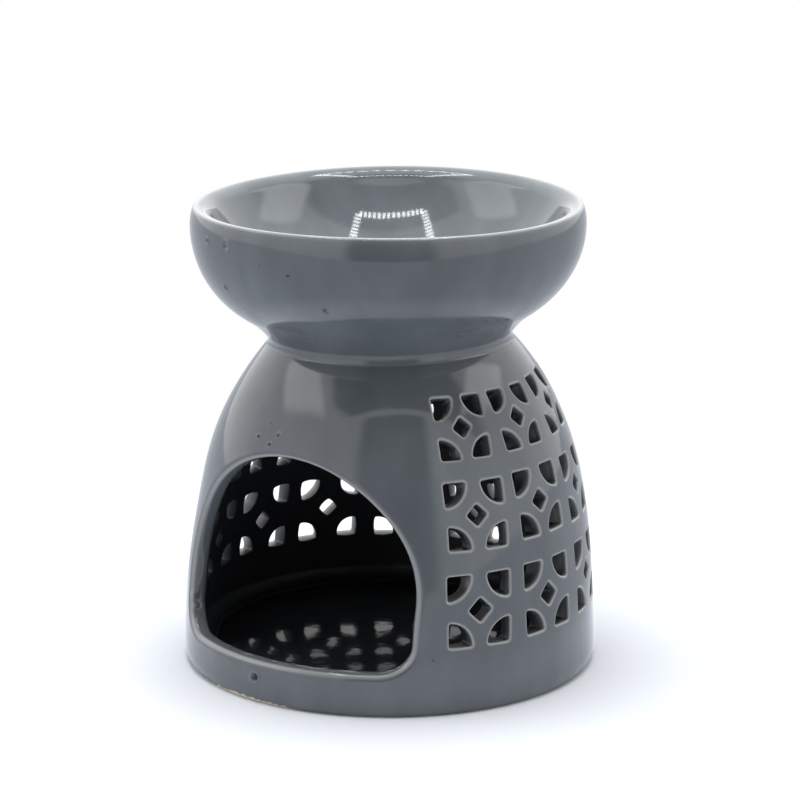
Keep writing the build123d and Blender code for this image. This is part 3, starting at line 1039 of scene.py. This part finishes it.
def table_paper():
    """White paper that keeps the shadow near the burner and runs out to plain white."""
    material, tree, shader = new_finish("white_table_paper")
    rays = add(tree, "ShaderNodeLightPath").outputs
    colour = add(tree, "ShaderNodeMix", {"data_type": "RGBA"}, Factor=rays["Is Camera Ray"],
                 i6=linear(PAPER_BOUNCE), i7=linear(PAPER_SEEN))
    tree.links.new(colour.outputs[2], shader.inputs["Base Color"])
    shader.inputs["Roughness"].default_value = PAPER_ROUGH
    distance = add(tree, "ShaderNodeVectorMath", {"operation": "LENGTH"},
                   i0=add(tree, "ShaderNodeTexCoord").outputs["Object"]).outputs["Value"]
    whites = []
    for ray, reach in (("Is Camera Ray", SHADOW_REACH), ("Is Glossy Ray", MIRROR_REACH)):
        far = add(tree, "ShaderNodeMapRange", {"interpolation_type": "SMOOTHSTEP"}, Value=distance,
                  From_Min=reach[0], From_Max=reach[1])
        whites.append(add(tree, "ShaderNodeMath", {"operation": "MULTIPLY"}, i0=far.outputs[0],
                          i1=rays[ray]).outputs[0])
    plain = add(tree, "ShaderNodeMath", {"operation": "MAXIMUM"}, i0=whites[0], i1=whites[1])
    shade = add(tree, "ShaderNodeMix", {"data_type": "RGBA"}, Factor=rays["Is Camera Ray"],
                i6=linear(PAPER_BOUNCE), i7=linear(PLAIN_WHITE))
    glow = add(tree, "ShaderNodeEmission", Color=shade.outputs[2], Strength=PLAIN_STRENGTH)
    shown = add(tree, "ShaderNodeMixShader", i0=plain.outputs[0], i1=shader.outputs[0], i2=glow.outputs[0])
    tree.links.new(shown.outputs[0], tree.nodes["Material Output"].inputs["Surface"])
    return material


table_mesh.materials.append(table_paper())
print("table", 2 * TABLE_HALF, "m wide, its front edge at", TABLE_FRONT, "m")

# %% [markdown]
# ## Light tent
# A glossy glaze is mostly seen by what it mirrors, so the light has to be a place, not just a few
# lamps: white cloth walls that light the burner evenly from all round, a dark opening at the front
# where the camera stands, a dark flap over it, and the bright patch of a lamp behind the cloth at each
# side. All that is far away and has no shape of its own, so it is painted on the world by direction.

# %% Tent walls
TENT_WHITE = "#fdfeff"
WALL_LIGHT = 1.3
BACK_LIGHT = 1.55
ROOF_LIGHT = 1.5
OPENING_LIGHT = 0.06
FLAP_LIGHT = 0.1
PATCH_LIGHT = 3.0
AHEAD = ((0.0, 0.1),)
BACK_FADE = ((0.1, -0.6),)
ROOF_FADE = ((0.72, 0.97),)
OPENING_ASIDE = ((-0.56, -0.34), (0.62, 0.38))
OPENING_RISE = ((-0.60, -0.50), (1.03, 0.97))
FLAP_LEFT = ((-0.66, -0.56),)
FLAP_RIGHT = ((4.0, 1.6),)
FLAP_RISE = ((1.06, 1.13), (5.0, 3.0))
FLAP_SLANT = 0.74
FLAP_CORNER = ((0.42, 0.62),)
LAMP_WAY = (0.78, 0.15, 0.60)
LAMP_TURN = 0.37
LAMP_SKEW = 1.2
LAMP_WIDE = ((-0.40, -0.28), (0.27, 0.15))
LAMP_TALL = ((-0.12, -0.02), (0.26, 0.19))


def light_tent():
    """A white tent, brighter overhead, with a dark opening and flap in front and a lamp at each side.

    The panels are drawn by slopes as seen from the burner: sideways and upward over forward. A pair
    of values is where a panel's soft edge starts and where it ends."""
    world = bpy.data.worlds.new("light_tent")
    bpy.context.scene.world = world
    world.use_nodes = True
    tree = world.node_tree
    ray = add(tree, "ShaderNodeTexCoord").outputs["Generated"]

    def seen_along(*ways):
        """How far a ray goes along each of these ways, and the slopes of the last two over the first."""
        runs = []
        for way in ways:
            run = add(tree, "ShaderNodeVectorMath", {"operation": "DOT_PRODUCT"}, i0=ray, i1=way)
            runs.append(run.outputs["Value"])
        slopes = []
        for run in runs[1:]:
            slope = add(tree, "ShaderNodeMath", {"operation": "DIVIDE"}, i0=run, i1=runs[0])
            slopes.append(slope.outputs[0])
        return runs + slopes

    def panel(level, light, *edges):
        """The tent's light with one panel of another light, which is soft along its edges."""
        inside = 1.0
        for value, limits in edges:
            for start, end in limits:
                edge = add(tree, "ShaderNodeMapRange", {"interpolation_type": "SMOOTHSTEP"}, Value=value,
                           From_Min=start, From_Max=end)
                inside = add(tree, "ShaderNodeMath", {"operation": "MULTIPLY"}, i0=inside,
                             i1=edge.outputs[0]).outputs[0]
        return add(tree, "ShaderNodeMix", Factor=inside, i2=level, i3=light).outputs[0]

    front, right, up, aside, rise = seen_along(toward_camera, to_the_right, (0, 0, 1))
    level = panel(WALL_LIGHT, BACK_LIGHT, (front, BACK_FADE))
    level = panel(level, ROOF_LIGHT, (up, ROOF_FADE))
    level = panel(level, OPENING_LIGHT, (front, AHEAD), (aside, OPENING_ASIDE), (rise, OPENING_RISE))
    corner = add(tree, "ShaderNodeMath", {"operation": "MULTIPLY_ADD"}, i0=aside, i1=FLAP_SLANT, i2=rise)
    level = panel(level, FLAP_LIGHT, (front, AHEAD), (right, FLAP_LEFT), (aside, FLAP_RIGHT),
                  (corner.outputs[0], FLAP_CORNER), (rise, FLAP_RISE))
    for side in (-1, 1):
        middle = LAMP_WAY[0] * side * to_the_right + LAMP_WAY[1] * toward_camera
        middle = (middle + Vector((0, 0, LAMP_WAY[2]))).normalized()
        level_way = side * middle.cross(Vector((0, 0, 1))).normalized()
        upward = side * level_way.cross(middle)
        turned = LAMP_TURN * upward + math.sqrt(1 - LAMP_TURN**2) * level_way
        raised = math.sqrt(1 - LAMP_TURN**2) * upward - LAMP_TURN * level_way
        depth, _, _, flat, steep = seen_along(middle, turned, raised)
        skew = add(tree, "ShaderNodeMath", {"operation": "MULTIPLY_ADD"}, i0=steep, i1=LAMP_SKEW, i2=flat)
        level = panel(level, PATCH_LIGHT, (depth, AHEAD), (skew.outputs[0], LAMP_WIDE), (steep, LAMP_TALL))
    seen = add(tree, "ShaderNodeLightPath").outputs["Is Camera Ray"]
    shown = add(tree, "ShaderNodeMix", Factor=seen, i2=level, i3=PLAIN_STRENGTH)
    tint = add(tree, "ShaderNodeMix", {"data_type": "RGBA"}, Factor=seen, i6=linear(TENT_WHITE),
               i7=linear(PLAIN_WHITE))
    tree.links.new(shown.outputs[0], tree.nodes["Background"].inputs["Strength"])
    tree.links.new(tint.outputs[2], tree.nodes["Background"].inputs["Color"])
    print("nodes of the tent", len(tree.nodes))


light_tent()

# %% [markdown]
# ## Lamps under the roof
# A square of diode strips hangs over the table, and the bowl mirrors it as a dotted frame. The dots are
# separate small area lamps, because one long lamp would mirror as an unbroken line. A soft lamp inside
# the square adds light from above, and is left out of mirror images.

# %% Lamp strips
STRIP_LIGHT = 20.0
STRIP_WIDTH = 0.020
STRIP_HEIGHT = 0.44
STRIP_HALF = 0.1035
STRIP_ASIDE = -0.0155
STRIP_FRONT = 0.111
STRIP_BACK = -0.12
DIODE_STEP = 0.0148
DIODE_LENGTH = 0.008


def lamp_strip(start, end):
    """A row of small lamps between two corners of the tent's frame, aimed at the bowl."""
    along = (end - start).normalized()
    count = round((end - start).length / DIODE_STEP)
    light = bpy.data.lights.new("diode", "AREA")
    light.shape = "RECTANGLE"
    light.size = DIODE_LENGTH
    light.size_y = STRIP_WIDTH
    light.energy = STRIP_LIGHT * math.pi * DIODE_LENGTH * STRIP_WIDTH
    for number in range(count):
        middle = start.lerp(end, (number + 0.5) / count)
        back = (middle - Vector((0, 0, RIM_HEIGHT * MM))).normalized()
        back = (back - along * back.dot(along)).normalized()
        turn = Matrix((along, back.cross(along), back)).transposed()
        lamp = placed("diode", light)
        lamp.matrix_world = Matrix.Translation(middle) @ turn.to_4x4()
        lamp.visible_camera = False
    print("diodes", count)


def in_tent(right, front, height):
    """A point of the tent from its place as the camera sees it."""
    return to_the_right * right + toward_camera * front + Vector((0, 0, height))


strip_edges = ((-1, STRIP_FRONT), (1, STRIP_FRONT), (1, STRIP_BACK), (-1, STRIP_BACK))
strip_corners = [in_tent(STRIP_ASIDE + side * STRIP_HALF, front, STRIP_HEIGHT)
                 for side, front in strip_edges]
for start, end in zip(strip_corners, strip_corners[1:] + strip_corners[:1]):
    lamp_strip(start, end)

# %% Roof lamp
ROOF_LAMP_POWER = 1.6
ROOF_LAMP_SIZE = 0.21
roof_light = bpy.data.lights.new("roof_lamp", "AREA")
roof_light.size = ROOF_LAMP_SIZE
roof_light.energy = ROOF_LAMP_POWER
roof_lamp = placed("roof_lamp", roof_light)
roof_lamp.location = in_tent(STRIP_ASIDE, 0.0, STRIP_HEIGHT)
roof_lamp.visible_camera = False
roof_lamp.visible_glossy = False
print("roof lamp", ROOF_LAMP_POWER, "W at", STRIP_HEIGHT, "m")

# %% [markdown]
# ## Camera
# A long lens about a metre away, to the right of the arch, looks down on the burner by about 15 degrees.
# The burner stands a little left of the picture's middle, which a small shift of the lens gives.

# %% Camera
CAMERA_RISE = math.radians(14.63)
CAMERA_DISTANCE = 0.9865
AIM_HEIGHT = 0.06995
SENSOR = 36.0
FOCAL_PIXELS = 3718
PICTURE_PIXELS = 800
AXIS_PIXEL = 389.5
aim = Vector((0, 0, AIM_HEIGHT))
camera_data = bpy.data.cameras.new("camera")
camera = placed("camera", camera_data)
way = toward_camera * math.cos(CAMERA_RISE) + Vector((0, 0, math.sin(CAMERA_RISE)))
camera.location = aim + way * CAMERA_DISTANCE
camera.rotation_euler = (-way).to_track_quat("-Z", "Y").to_euler()
camera_data.sensor_width = SENSOR
camera_data.lens = SENSOR * FOCAL_PIXELS / PICTURE_PIXELS
camera_data.shift_x = (PICTURE_PIXELS / 2 - AXIS_PIXEL) / PICTURE_PIXELS
bpy.context.scene.camera = camera
bpy.context.scene.view_settings.view_transform = "Standard"
print("lens", round(camera_data.lens, 1), "mm")
